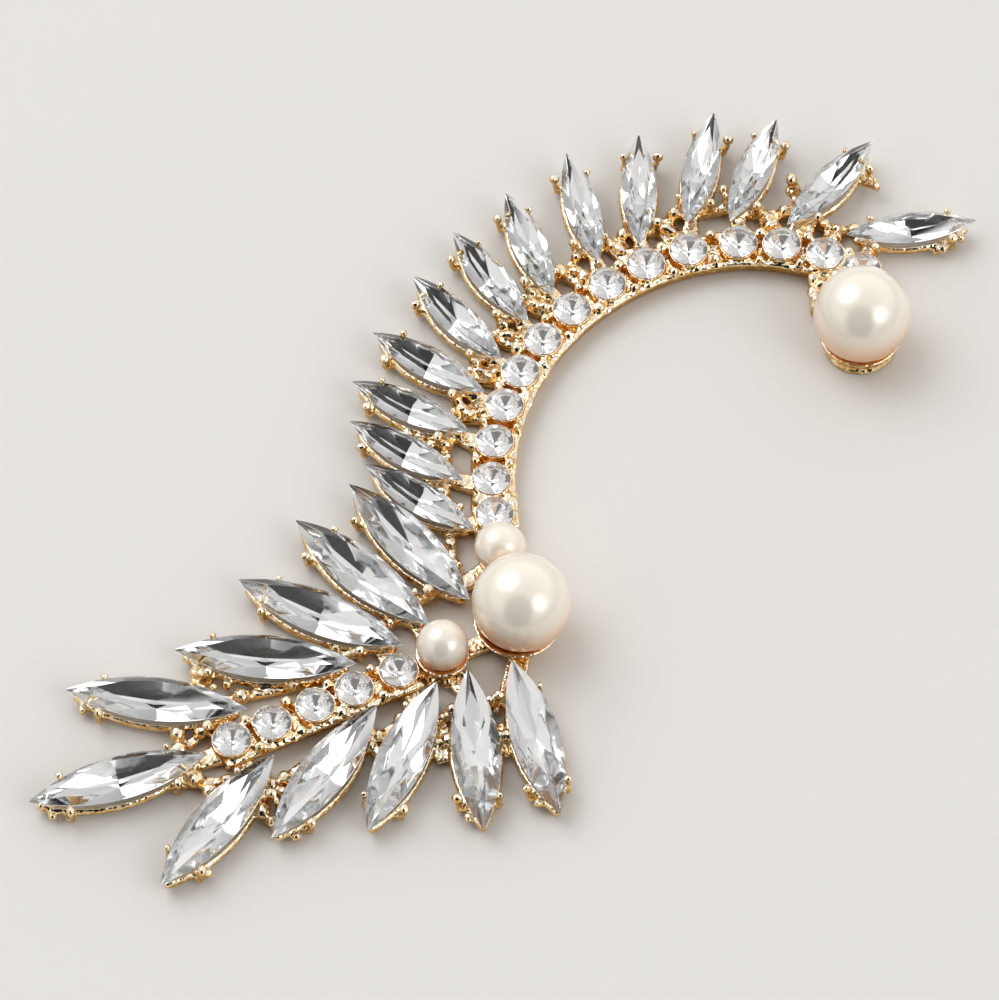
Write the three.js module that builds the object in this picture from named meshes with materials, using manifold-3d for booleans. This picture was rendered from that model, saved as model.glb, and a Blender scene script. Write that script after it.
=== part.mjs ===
// Ear climber: a curved row of round crystals with long marquise crystals fanning out of it,
// a wing of larger marquise crystals at its lower end, and four imitation pearls.
// It lies flat on its back, and all its metal is one cast and soldered frame.
// Units are millimetres, +Z is up. The layout is drawn about the centre of the main arc.

import * as THREE from 'three';
import { ConvexGeometry } from 'three/addons/geometries/ConvexGeometry.js';
import { mergeVertices } from 'three/addons/utils/BufferGeometryUtils.js';
import Module from 'manifold-3d';

const wasm = await Module();
wasm.setup();

// ---- Driving dimensions ------------------------------------------------------------------

const GAP = 0.3;                 // clear space between a stone or pearl and the metal

// The row of round crystals follows two tangent arcs.
const ARC_RADIUS = 23;           // main arc, round the back of the ear
const TIP_RADIUS = 17.4;         // tighter arc at the far end
const ROW_START = 188.7;          // direction of the first crystal from the centre, degrees
const ROW_BEND = 107;            // direction where the tighter arc takes over, degrees
const ROW_STEPS = [3.35, 3.6, 3.55, 3.5, 3.6, 3.8, 3.8, 3.8, 3.8, 4.2, 3.6, 3.7, 3.35];

// The wing's rib is straight and carries the same round crystals.
const RIB_START = new THREE.Vector2(-30.4, -18.0);
const RIB_DIRECTION = 205.6;     // degrees
const RIB_STEPS = [3.9, 3.45, 3.75, 3.55];
const RIB_OVERRUN = 1.6;         // strip past the last crystal

// Round crystals and their collets.
const ROUND_RADIUS = 1.5;
const ROUND_GIRDLE = 2.2;        // height of the girdle above the floor
const ROUND_CROWN = 0.6;
const ROUND_PAVILION = 1.2;
const ROUND_TABLE = 0.85;
const ROUND_FACETS = 10;
const COLLET = { radius: 1.66, foot: 1.5, top: 1.6 };
const BEAD = { top: 0.22, foot: 0.36, rise: 2.2, side: 1.05 };   // grains between collets

// Strips under the rows.
const ROW_STRIP = { width: 2.6, height: 1.3 };
const RIB_STRIP = { width: 2.4, height: 1.1 };

// Marquise crystals.
const SMALL = { length: 10.8, width: 2.9, crown: 0.95, pavilion: 1.1 };
const LARGE = { length: 14.6, width: 3.9, crown: 1.2, pavilion: 1.15 };
const GIRDLE_HEIGHT = 2.15;      // height of a marquise's girdle above its rail's foot
const GIRDLE_EDGE = 0.12;        // thickness of a crystal's girdle
const TABLE = { length: 0.62, width: 0.42 };   // share of the whole crystal
const KEEL = 0.4;                // length of the keel as a share of the crystal
const GIRDLE_STEPS = 6;          // straight edges along one side of the girdle
const TABLE_STEPS = 4;

// Marquise settings.
const RAIL = { ends: 0.8, sides: 0.1, width: 0.5, height: 0.95, steps: 5 };
const CLAW = { station: 0.3, foot: 0.32, neck: 0.22, ball: 0.42, clear: 0.72, inset: 0.35 };
const TIE = { width: 0.8, height: 0.55, distance: 2.4 };
const STRUT = { width: 1.0, height: 0.6, distance: 1.4 };
const CLAW_FACETS = 5;
const BACK_STOCK = 0.5;          // metal cast below the back, before it is cut flat

// Small marquises. along: distance along the row from its first crystal; reach: from the row's
// line to the stone's inner tip; lean: turn from the row's outward direction; lift: tilt that
// raises the outer tip. Angles in degrees.
const SMALL_LAYOUT = [
  { along: 45.2, reach: 2.4, lean: -59, lift: 0 },
  { along: 40.8, reach: 2.0, lean: -33, lift: 2 },
  { along: 36.5, reach: 2.1, lean: -27, lift: 1 },
  { along: 33.4, reach: 2.6, lean: -28, lift: 4 },
  { along: 29.3, reach: 1.9, lean: -26, lift: 1 },
  { along: 25.9, reach: 2.2, lean: -20, lift: 2 },
  { along: 21.2, reach: 2.0, lean: -25, lift: 0 },
  { along: 18.2, reach: 1.9, lean: -18, lift: 0 },
  { along: 14.3, reach: 1.9, lean: -20, lift: 2 },
  { along: 11.1, reach: 1.9, lean: -13, lift: 0 },
  { along: 7.4, reach: 2.1, lean: -17, lift: 0 },
  { along: 3.2, reach: 2.3, lean: -32, lift: 0 },
  { along: -1.15, reach: 1.9, lean: -46.5, lift: 0 },
];

// Large marquises, placed from the rib. along: distance along the rib from its first crystal;
// side: distance to the rib's lower side; lean: turn from the rib's direction.
const LARGE_LAYOUT = [
  { along: -7.9, side: -3.4, lean: -73.5 },
  { along: -4.0, side: -2.7, lean: -67.5 },
  { along: -1.3, side: -1.9, lean: -50 },
  { along: 2.8, side: -2.0, lean: -30.5 },
  { along: 12.4, side: -2.0, lean: -32.5 },
  { along: 17.0, side: 0.4, lean: -8.5 },
  { along: 12.2, side: 2.75, lean: 27.5 },
  { along: 2.9, side: 2.15, lean: 30 },
  { along: -2.3, side: 2.3, lean: 42.5 },
  { along: -5.0, side: 2.35, lean: 69.5 },
  { along: -8.55, side: 3.05, lean: 79.5 },
];

// Pearls, each in a shallow cup. height is the pearl's centre; cup is the radius of the lip.
const CUP_FACETS = 16;
const PEARLS = {
  end_pearl: { x: 7.3, y: 14.1, radius: 4, height: 4.6, cup: 3.5, lip: 1.6 },
  join_pearl: { x: -20.6, y: -13.2, radius: 4, height: 4.6, cup: 3.35, lip: 1.6 },
  arc_pearl: { x: -22.3, y: -7.2, radius: 2.1, height: 3.1, cup: 1.8, lip: 1.7 },
  wing_pearl: { x: -26.9, y: -16.2, radius: 2.1, height: 3.0, cup: 2.05, lip: 1.6 },
};

// ---- Small helpers -----------------------------------------------------------------------

const radians = THREE.MathUtils.degToRad;

function direction(degrees) {
  return new THREE.Vector2(Math.cos(radians(degrees)), Math.sin(radians(degrees)));
}

function runningTotals(steps) {
  const totals = [0];
  for (const step of steps) totals.push(totals.at(-1) + step);
  return totals;
}

function solidOf(geometry) {
  const bare = geometry.index ? geometry.toNonIndexed() : geometry.clone();
  bare.deleteAttribute('normal');
  bare.deleteAttribute('uv');
  const merged = mergeVertices(bare, 1e-5);
  return new wasm.Manifold(new wasm.Mesh({
    numProp: 3,
    vertProperties: new Float32Array(merged.attributes.position.array),
    triVerts: new Uint32Array(merged.index.array),
  }));
}

function geometryOf(solid) {
  const mesh = solid.getMesh();
  const geometry = new THREE.BufferGeometry();
  geometry.setAttribute('position', new THREE.BufferAttribute(mesh.vertProperties, 3));
  geometry.setIndex(new THREE.BufferAttribute(mesh.triVerts, 1));
  geometry.computeVertexNormals();
  return geometry;
}

// ---- Layout ------------------------------------------------------------------------------

// Point of the row at a distance from its first crystal, and the outward direction there.
function rowSpot(distance) {
  const mainLength = ARC_RADIUS * radians(ROW_START - ROW_BEND);
  const onMain = distance <= mainLength;
  const radius = onMain ? ARC_RADIUS : TIP_RADIUS;
  const turned = THREE.MathUtils.radToDeg((distance - mainLength) / radius);
  const outward = ROW_BEND - turned;
  const centre = direction(ROW_BEND).multiplyScalar(onMain ? 0 : ARC_RADIUS - TIP_RADIUS);
  return { point: centre.addScaledVector(direction(outward), radius), outward };
}

function ribSpot(distance, side = 0) {
  return RIB_START.clone()
    .addScaledVector(direction(RIB_DIRECTION), distance)
    .addScaledVector(direction(RIB_DIRECTION + 90), side);
}

const rowDistances = runningTotals(ROW_STEPS);
const ribDistances = runningTotals(RIB_STEPS);
const arcCrystals = rowDistances.map((distance) => rowSpot(distance).point);
const wingCrystals = ribDistances.map((distance) => ribSpot(distance));

const smallSpots = SMALL_LAYOUT.map((row) => {
  const { point, outward } = rowSpot(row.along);
  const tip = point.addScaledVector(direction(outward), row.reach);
  return { tip, heading: outward + row.lean, lift: row.lift, cut: SMALL };
});
const largeSpots = LARGE_LAYOUT.map((row) => ({
  tip: ribSpot(row.along, row.side),
  heading: RIB_DIRECTION + row.lean,
  lift: 0,
  cut: LARGE,
}));
const marquiseSpots = [...smallSpots, ...largeSpots];

// A marquise's own frame: origin at its inner tip on the floor, +X towards its outer tip.
function place(object, spot) {
  object.position.set(spot.tip.x, spot.tip.y, 0);
  object.rotation.set(0, radians(-spot.lift), radians(spot.heading), 'ZYX');
  object.updateMatrix();
  return object;
}

// Point on a marquise's axis, seen from above.
function axisPoint(spot, distance) {
  return spot.tip.clone().addScaledVector(direction(spot.heading), distance);
}

// ---- Marquise outline --------------------------------------------------------------------

// The outline is where two equal circles overlap: half its width at a place along its length,
// measured from the middle.
function halfWidthAt(length, width, place) {
  const radius = (length * length + width * width) / (4 * width);
  return Math.sqrt(radius * radius - place * place) - (radius - width / 2);
}

// Closed outline of a marquise centred on its middle.
function marquiseOutline(length, width, steps) {
  const points = [];
  for (let i = 0; i < steps; i += 1) {
    const x = (i / steps - 0.5) * length;
    points.push(new THREE.Vector2(x, -halfWidthAt(length, width, x)));
  }
  for (let i = 0; i < steps; i += 1) {
    const x = (0.5 - i / steps) * length;
    points.push(new THREE.Vector2(x, halfWidthAt(length, width, x)));
  }
  return points;
}

// ---- Stones and pearls -------------------------------------------------------------------

// Faceted marquise: a long table, a thin girdle and a keel, as the hull of its corners.
function marquiseCrystal(cut) {
  const corners = [];
  const ring = (length, width, height, steps) => {
    for (const point of marquiseOutline(length, width, steps)) {
      corners.push(new THREE.Vector3(point.x + cut.length / 2, point.y, height));
    }
  };
  const { length, width } = cut;
  ring(length * TABLE.length, width * TABLE.width, GIRDLE_HEIGHT + cut.crown, TABLE_STEPS);
  ring(length, width, GIRDLE_HEIGHT + GIRDLE_EDGE / 2, GIRDLE_STEPS);
  ring(length, width, GIRDLE_HEIGHT - GIRDLE_EDGE / 2, GIRDLE_STEPS);
  for (const end of [-1, 1]) {
    const x = length / 2 * (1 + end * KEEL);
    corners.push(new THREE.Vector3(x, 0, GIRDLE_HEIGHT - cut.pavilion));
  }
  return new ConvexGeometry(corners);
}

// Faceted round stone, turned about its own upright axis.
function roundCrystal() {
  const edge = GIRDLE_EDGE / 2;
  const profile = [
    new THREE.Vector2(0, -ROUND_PAVILION),
    new THREE.Vector2(ROUND_RADIUS, -edge),
    new THREE.Vector2(ROUND_RADIUS, edge),
    new THREE.Vector2(ROUND_TABLE, ROUND_CROWN),
    new THREE.Vector2(0, ROUND_CROWN),
  ];
  const geometry = new THREE.LatheGeometry(profile, ROUND_FACETS);
  geometry.rotateX(Math.PI / 2);
  return geometry;
}

// ---- Metal -------------------------------------------------------------------------------

// Boat-shaped gallery rail that the marquise sits over.
function galleryRail(cut) {
  const { length, width } = cut;
  const outerLength = length - RAIL.ends * 2;
  const outerWidth = width - RAIL.sides * 2;
  const innerWidth = outerWidth - RAIL.width * 2;
  const outer = marquiseOutline(outerLength, outerWidth, RAIL.steps);
  const inner = marquiseOutline(outerLength * innerWidth / outerWidth, innerWidth, RAIL.steps);
  const shape = new THREE.Shape(outer);
  shape.holes.push(new THREE.Path(inner));
  const depth = RAIL.height + BACK_STOCK;
  const geometry = new THREE.ExtrudeGeometry(shape, { depth, bevelEnabled: false });
  geometry.translate(length / 2, 0, -BACK_STOCK);
  return geometry;
}

// Places of the four claws in the marquise's frame: foot on the rail, ball beside the girdle.
function clawPlaces(cut) {
  const places = [];
  for (const end of [-1, 1]) {
    for (const side of [-1, 1]) {
      const x = end * CLAW.station * cut.length;
      const edge = halfWidthAt(cut.length, cut.width, x);
      const footSide = side * (edge - CLAW.inset);
      const ballSide = side * (edge + CLAW.clear);
      places.push({
        foot: new THREE.Vector3(cut.length / 2 + x, footSide, CLAW.foot / 2),
        ball: new THREE.Vector3(cut.length / 2 + x, ballSide, GIRDLE_HEIGHT),
      });
    }
  }
  return places;
}

// Claw with a ball tip: one turned profile, stood up from foot to ball.
function claw({ foot, ball }) {
  const reach = ball.clone().sub(foot);
  const rise = reach.length();
  const profile = [
    new THREE.Vector2(0, 0),
    new THREE.Vector2(CLAW.foot, 0),
    new THREE.Vector2(CLAW.neck, rise - CLAW.ball),
    new THREE.Vector2(CLAW.ball, rise),
    new THREE.Vector2(0, rise + CLAW.ball),
  ];
  const geometry = new THREE.LatheGeometry(profile, CLAW_FACETS);
  const turn = new THREE.Quaternion().setFromUnitVectors(
    new THREE.Vector3(0, 1, 0), reach.normalize());
  geometry.applyQuaternion(turn);
  geometry.translate(foot.x, foot.y, foot.z);
  return geometry;
}

// Straight bar between two points seen from above, reaching below the back.
function bar(from, to, { width, height }) {
  const stock = BACK_STOCK * 0.8;
  const geometry = new THREE.BoxGeometry(from.distanceTo(to), width, height + stock);
  geometry.rotateZ(Math.atan2(to.y - from.y, to.x - from.x));
  geometry.translate((from.x + to.x) / 2, (from.y + to.y) / 2, (height - stock) / 2);
  return geometry;
}

// Flat strip under the arc's crystals, bent along the row and a little longer than it.
function rowStrip() {
  const overrun = 1.1;
  const samples = 18;
  const inner = [];
  const outer = [];
  for (let i = 0; i <= samples; i += 1) {
    const share = i / samples;
    const distance = -overrun + (rowDistances.at(-1) + 2 * overrun) * share;
    const { point, outward } = rowSpot(distance);
    const across = direction(outward).multiplyScalar(ROW_STRIP.width / 2);
    inner.push(point.clone().sub(across));
    outer.push(point.clone().add(across));
  }
  const shape = new THREE.Shape([...inner, ...outer.reverse()]);
  const depth = ROW_STRIP.height + BACK_STOCK;
  const geometry = new THREE.ExtrudeGeometry(shape, { depth, bevelEnabled: false });
  return geometry.translate(0, 0, -BACK_STOCK);
}

// Ring that stands round a round crystal's pavilion.
function collet() {
  const rise = COLLET.top + BACK_STOCK / 2;
  const geometry = new THREE.CylinderGeometry(COLLET.radius, COLLET.foot, rise, ROUND_FACETS);
  geometry.rotateX(Math.PI / 2);
  geometry.translate(0, 0, COLLET.top - rise / 2);
  return geometry;
}

// Conical seat, parallel to the stone's pavilion at the gap, cut from collet and strip together.
function colletSeat() {
  const slope = ROUND_PAVILION / ROUND_RADIUS;
  const drop = GAP * Math.hypot(1, slope);
  const profile = [
    new THREE.Vector2(0, -ROUND_PAVILION - drop),
    new THREE.Vector2(ROUND_RADIUS + drop / slope, 0),
    new THREE.Vector2(0, 0),
  ];
  const geometry = new THREE.LatheGeometry(profile, ROUND_FACETS);
  geometry.rotateX(Math.PI / 2);
  geometry.translate(0, 0, ROUND_GIRDLE);
  return geometry;
}

// Beads raised on both sides of the row, half way between neighbouring collets.
function colletBeads(centres) {
  const beads = [];
  for (let i = 1; i < centres.length; i += 1) {
    const step = centres[i].clone().sub(centres[i - 1]);
    const middle = centres[i].clone().add(centres[i - 1]).multiplyScalar(0.5);
    const across = new THREE.Vector2(-step.y, step.x).normalize();
    for (const side of [-1, 1]) {
      const bead = new THREE.CylinderGeometry(BEAD.top, BEAD.foot, BEAD.rise, CLAW_FACETS);
      bead.rotateX(Math.PI / 2);
      const spot = middle.clone().addScaledVector(across, side * BEAD.side);
      bead.translate(spot.x, spot.y, BEAD.rise / 2);
      beads.push(bead);
    }
  }
  return beads;
}

// Cup under a pearl, still full: the pearl's room is cut from it and its neighbours later.
function pearlCup({ x, y, cup, lip }) {
  const profile = [
    new THREE.Vector2(0, -BACK_STOCK),
    new THREE.Vector2(cup * 0.7, -BACK_STOCK),
    new THREE.Vector2(cup, lip * 0.7),
    new THREE.Vector2(cup, lip),
    new THREE.Vector2(0, lip),
  ];
  const geometry = new THREE.LatheGeometry(profile, CUP_FACETS);
  geometry.rotateX(Math.PI / 2);
  geometry.translate(x, y, 0);
  return geometry;
}

function pearlRoom({ x, y, radius, height }) {
  const geometry = new THREE.SphereGeometry(radius + GAP, CUP_FACETS, 12);
  geometry.rotateX(Math.PI / 2);
  geometry.translate(x, y, height);
  return geometry;
}

// ---- Joining the frame -------------------------------------------------------------------

// Distance from a point to a marquise's outline, seen from above; inside counts as zero.
function distanceToMarquise(point, spot) {
  const offset = point.clone().sub(axisPoint(spot, spot.cut.length / 2));
  offset.rotateAround(new THREE.Vector2(), -radians(spot.heading));
  const { length, width } = spot.cut;
  const half = length / 2;
  if (Math.abs(offset.x) >= half) return Math.hypot(Math.abs(offset.x) - half, offset.y);
  return Math.max(0, Math.abs(offset.y) - halfWidthAt(length, width, offset.x));
}

const pearlCentres = Object.fromEntries(
  Object.entries(PEARLS).map(([name, pearl]) => [name, new THREE.Vector2(pearl.x, pearl.y)]));

// A claw is left out where a neighbour stands in its place; the two then share one claw.
function hasRoom(point, owner) {
  const room = CLAW.ball + GAP;
  const clearOfMarquises = marquiseSpots.every(
    (spot) => spot === owner || distanceToMarquise(point, spot) > room);
  const clearOfRounds = [...arcCrystals, ...wingCrystals].every(
    (centre) => centre.distanceTo(point) > ROUND_RADIUS + room);
  const clearOfPearls = Object.values(PEARLS).every(
    (pearl) => Math.hypot(pearl.x - point.x, pearl.y - point.y) > pearl.radius + room);
  return clearOfMarquises && clearOfRounds && clearOfPearls;
}

// Backbone that every setting's strut runs back to.
const backbone = [...arcCrystals, ...wingCrystals, ...Object.values(pearlCentres)];

function nearest(point, candidates) {
  return candidates.reduce(
    (best, spot) => (spot.distanceTo(point) < best.distanceTo(point) ? spot : best));
}

function marquiseSetting(spot) {
  const frame = place(new THREE.Object3D(), spot);
  const pieces = [galleryRail(spot.cut)];
  for (const places of clawPlaces(spot.cut)) {
    const ball = places.ball.clone().applyMatrix4(frame.matrix);
    if (hasRoom(new THREE.Vector2(ball.x, ball.y), spot)) pieces.push(claw(places));
  }
  for (const piece of pieces) piece.applyMatrix4(frame.matrix);
  const root = axisPoint(spot, STRUT.distance);
  pieces.push(bar(nearest(root, backbone), root, STRUT));
  return pieces;
}

// Tie bars between neighbouring settings, a little way out from their inner tips.
function ties(spots) {
  return spots.slice(1).map((spot, i) => bar(
    axisPoint(spots[i], TIE.distance), axisPoint(spot, TIE.distance), TIE));
}

function frameSolid() {
  const { end_pearl: end, join_pearl: join, arc_pearl: arc, wing_pearl: wing } = pearlCentres;
  const ribEnd = ribSpot(ribDistances.at(-1) + RIB_OVERRUN);
  const pieces = [
    rowStrip(),
    bar(RIB_START, ribEnd, RIB_STRIP),
    bar(arcCrystals[0], arc, ROW_STRIP),
    bar(arc, join, ROW_STRIP),
    bar(join, wing, RIB_STRIP),
    bar(wing, RIB_START, RIB_STRIP),
    bar(arcCrystals.at(-1), end, ROW_STRIP),
    bar(arcCrystals.at(-2), end, STRUT),
    ...colletBeads(arcCrystals),
    ...colletBeads(wingCrystals),
    ...marquiseSpots.flatMap(marquiseSetting),
    ...ties(smallSpots),
    ...ties(largeSpots),
    ...Object.values(PEARLS).map(pearlCup),
  ];
  const seats = [];
  for (const centre of [...arcCrystals, ...wingCrystals]) {
    pieces.push(collet().translate(centre.x, centre.y, 0));
    seats.push(colletSeat().translate(centre.x, centre.y, 0));
  }
  const belowBack = new THREE.BoxGeometry(200, 200, 10).translate(0, 0, -5);   // back cut flat
  const cuts = [...seats, ...Object.values(PEARLS).map(pearlRoom), belowBack];
  const whole = pieces.map(solidOf).reduce((joined, piece) => joined.add(piece));
  return cuts.map(solidOf).reduce((rest, cut) => rest.subtract(cut), whole);
}

// ---- The assembly ------------------------------------------------------------------------

const gold = { color: 0xd9a441, metalness: 1, roughness: 0.25 };
const crystal = { color: 0xe6e9ee, metalness: 0.2, roughness: 0.05 };
const nacre = { color: 0xf3ead9, metalness: 0, roughness: 0.3 };

const group = new THREE.Group();
const layout = new THREE.Group();
group.add(layout);

function addMesh(name, geometry, finish) {
  const mesh = new THREE.Mesh(geometry, new THREE.MeshStandardMaterial(finish));
  mesh.name = name;
  layout.add(mesh);
  return mesh;
}

const numbered = (stem, index) => `${stem}_${String(index + 1).padStart(2, '0')}`;

addMesh('frame', geometryOf(frameSolid()), gold);
smallSpots.forEach((spot, i) => {
  place(addMesh(numbered('small_marquise', i), marquiseCrystal(SMALL), crystal), spot);
});
largeSpots.forEach((spot, i) => {
  place(addMesh(numbered('large_marquise', i), marquiseCrystal(LARGE), crystal), spot);
});
arcCrystals.forEach((centre, i) => {
  const mesh = addMesh(numbered('arc_crystal', i), roundCrystal(), crystal);
  mesh.position.set(centre.x, centre.y, ROUND_GIRDLE);
});
wingCrystals.forEach((centre, i) => {
  const mesh = addMesh(numbered('wing_crystal', i), roundCrystal(), crystal);
  mesh.position.set(centre.x, centre.y, ROUND_GIRDLE);
});
for (const [name, pearl] of Object.entries(PEARLS)) {
  const facets = pearl.radius > 3 ? 20 : 16;
  const mesh = addMesh(name, new THREE.SphereGeometry(pearl.radius, facets, facets / 2 + 2), nacre);
  mesh.rotation.x = Math.PI / 2;
  mesh.position.set(pearl.x, pearl.y, pearl.height);
}

// The origin is the middle of the whole piece's box, on the surface that it lies on.
const box = new THREE.Box3().setFromObject(group, true);
layout.position.set(-(box.min.x + box.max.x) / 2, -(box.min.y + box.max.y) / 2, -box.min.z);

export default group;
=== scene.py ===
"""Ear climber: foil-backed crystals, imitation pearls and a gold-plated cast setting.

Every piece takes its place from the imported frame's nodes. Shapes are worked out in
millimetres and become metres when a piece is added.
"""

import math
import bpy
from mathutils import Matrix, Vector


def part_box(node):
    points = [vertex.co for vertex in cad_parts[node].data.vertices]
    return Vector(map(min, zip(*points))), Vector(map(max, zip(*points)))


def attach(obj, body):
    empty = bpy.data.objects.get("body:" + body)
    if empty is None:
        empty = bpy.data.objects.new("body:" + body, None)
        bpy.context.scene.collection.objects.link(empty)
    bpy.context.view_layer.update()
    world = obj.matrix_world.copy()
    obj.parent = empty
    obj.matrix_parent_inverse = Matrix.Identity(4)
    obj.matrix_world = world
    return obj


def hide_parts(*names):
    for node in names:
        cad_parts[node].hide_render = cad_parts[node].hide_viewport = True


bl_info = {
    "name": "Ear climber",
    "version": (1, 0, 0),
    "blender": (4, 5, 0),
    "location": "3D View > Sidebar > Ear climber",
    "description": "Makes the crystals, pearls and gold-plated setting of an ear climber",
    "category": "Object",
}

from collections import namedtuple

import bmesh
import bpy
import numpy as np
from bpy.props import FloatProperty, FloatVectorProperty, PointerProperty
from mathutils import Vector

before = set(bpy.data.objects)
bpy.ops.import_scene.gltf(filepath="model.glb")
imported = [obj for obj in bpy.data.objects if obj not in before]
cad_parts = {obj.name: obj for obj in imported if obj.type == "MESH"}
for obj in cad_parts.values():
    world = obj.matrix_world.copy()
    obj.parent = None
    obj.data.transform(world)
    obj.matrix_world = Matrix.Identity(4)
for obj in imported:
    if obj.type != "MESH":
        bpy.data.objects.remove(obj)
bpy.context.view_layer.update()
BODY = "root"
MM = 0.001


# ---- Reading the frame ----


def nodes_named(stem):
    """Names of the frame's nodes that start with a stem, in order."""
    return sorted(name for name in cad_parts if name.startswith(stem))


SMALL_MARQUISES = nodes_named("small_marquise_")
LARGE_MARQUISES = nodes_named("large_marquise_")
ARC_CRYSTALS = nodes_named("arc_crystal_")
WING_CRYSTALS = nodes_named("wing_crystal_")
PEARLS = ["end_pearl", "join_pearl", "arc_pearl", "wing_pearl"]

# Where a marquise sits. Its crown is above its girdle and its pavilion is below.
Seat = namedtuple("Seat", "middle axes half_length half_width crown pavilion")
TIP_SPREAD = 0.2  # the corner points of one tip are closer together than this
ON_GIRDLE = 0.98  # a round crystal's girdle has the points past this share of its reach


def unit(vectors):
    """A vector, or each row of an array of them, made 1 long."""
    return vectors / np.linalg.norm(vectors, axis=-1, keepdims=True)


def node_points(name):
    """The different corner points of a node, as an array of rows."""
    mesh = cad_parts[name].data
    flat = np.empty(len(mesh.vertices) * 3)
    mesh.vertices.foreach_get("co", flat)
    return np.unique((flat.reshape(-1, 3) / MM).round(4), axis=0)


def node_middle(name):
    """The middle of a node's box."""
    low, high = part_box(name)
    return (np.array(low) + np.array(high)) / 2 / MM


def node_radius(name):
    """The radius of a ball, which is half the height of its node's box."""
    low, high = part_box(name)
    return (high.z - low.z) / 2 / MM


def marquise_seat(name):
    """Where a marquise sits. Its tips are its two points farthest apart, and the inner tip is
    the one nearer to a round crystal or pearl. X runs to the outer tip and Z leaves the table."""
    points = node_points(name)
    spans = np.linalg.norm(points[:, None] - points[None], axis=2)
    tips = [
        points[np.linalg.norm(points - points[i], axis=1) < TIP_SPREAD].mean(0)
        for i in np.unravel_index(spans.argmax(), spans.shape)
    ]
    hearts = np.array([node_middle(n) for n in ARC_CRYSTALS + WING_CRYSTALS + PEARLS])

    def to_heart(tip):
        return np.linalg.norm(hearts[:, :2] - tip[:2], axis=1).min()

    inner, outer = sorted(tips, key=to_heart)
    along = unit(outer - inner)
    across = unit(np.cross((0, 0, 1), along))
    axes = np.array([along, across, np.cross(along, across)])
    middle = (inner + outer) / 2
    local = (points - middle) @ axes.T
    half_length = np.linalg.norm(outer - inner) / 2
    half_width = np.abs(local[:, 1]).max()
    return Seat(middle, axes, half_length, half_width, local[:, 2].max(), -local[:, 2].min())


def round_seat(name):
    """A round crystal's middle, radius, height of its girdle, crown and pavilion."""
    points = node_points(name)
    middle = node_middle(name)
    reach = np.linalg.norm(points[:, :2] - middle[:2], axis=1)
    girdle = points[reach > reach.max() * ON_GIRDLE][:, 2].mean()
    low, high = points[:, 2].min(), points[:, 2].max()
    return middle, reach.max(), girdle, high - girdle, girdle - low


FRAME_POINTS = node_points("frame")
MARQUISES = SMALL_MARQUISES + LARGE_MARQUISES  # in order round the piece, each left of the last
SEATS = {name: marquise_seat(name) for name in MARQUISES}


# ---- Settings ----


def linear(colour):
    """Linear RGB of an sRGB hex colour."""
    parts = np.array([int(colour[i : i + 2], 16) for i in (1, 3, 5)]) / 255
    curved = ((parts + 0.055) / 1.055) ** 2.4
    return tuple(np.where(parts <= 0.04045, parts / 12.92, curved))


def colour_setting(name, description, colour):
    """A colour that a user can change, from its sRGB hex."""
    return FloatVectorProperty(
        name=name, description=description, subtype="COLOR", min=0, max=1, default=linear(colour)
    )


def length_setting(name, description, millimetres):
    """A length that a user can change."""
    return FloatProperty(
        name=name, description=description, unit="LENGTH", default=millimetres * MM
    )


def share_setting(name, description, share):
    """A share from 0 to 1 that a user can change."""
    return FloatProperty(
        name=name, description=description, subtype="FACTOR", min=0, max=1, default=share
    )


class EarClimberCrystals(bpy.types.PropertyGroup):
    """Cut and colours of the crystals"""

    table_length: share_setting(
        "Table length", "Length of a marquise's flat top, as a share of the crystal", 0.66
    )
    table_width: share_setting(
        "Table width", "Width of a marquise's flat top, as a share of the crystal", 0.56
    )
    round_table: share_setting(
        "Round table", "Width of a round crystal's flat top, as a share of the crystal", 0.56
    )
    glass: colour_setting("Glass", "Tint of the pressed glass", "#FDFDFD")
    foil: colour_setting("Foil", "Silver foil behind the marquise crystals", "#E9EAEB")
    round_foil: colour_setting("Round foil", "Silver foil behind the round crystals", "#FAFAFA")


class EarClimberPearls(bpy.types.PropertyGroup):
    """Finish of the pearls"""

    lacquer: colour_setting("Lacquer", "Body colour of the pearl lacquer", "#FFF8EA")
    foot: colour_setting("Foot", "Colour of the pearl where the gold cup shines in", "#EDAA6C")


class EarClimberMetal(bpy.types.PropertyGroup):
    """Sizes and colour of the gold-plated setting"""

    plating: colour_setting("Plating", "Colour of the gold plating", "#FFE0A8")
    # Painted light in the plating: the edge colour is a painted highlight for tops and edges that
    # stand out, and the pit colour is painted shade for creases and side walls.
    edge: colour_setting("Worn edges", "Colour of the plating on worn edges", "#FFF5E2")
    painted_shade: colour_setting("Pits", "Colour of the plating in pits and creases", "#D2A255")
    rail_width: length_setting("Rail width", "Width of a gallery rail", 0.55)
    rail_height: length_setting("Rail height", "Height of a gallery rail", 0.85)
    rail_top: length_setting("Rail top", "Height of a gallery rail's top", 1.3)
    ball: length_setting("Claw ball", "Radius of a claw's ball tip", 0.45)
    grain: length_setting("Grain", "Finest detail that the casting keeps", 0.14)


class EarClimberStage(bpy.types.PropertyGroup):
    """Camera, lights and floor"""

    floor: colour_setting("Floor", "Colour of the plain floor", "#E6E5E2")
    elevation: FloatProperty(
        name="Elevation",
        description="Height of the camera above the horizon",
        subtype="ANGLE",
        default=math.radians(59),
    )
    distance: length_setting("Distance", "From the camera to the middle of its view", 600)


# ---- Surfaces ----


def points_of(x, y, z):
    """Points from their coordinates, each an array or one number for all."""
    return np.stack(np.broadcast_arrays(x, y, z), axis=-1)


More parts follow.
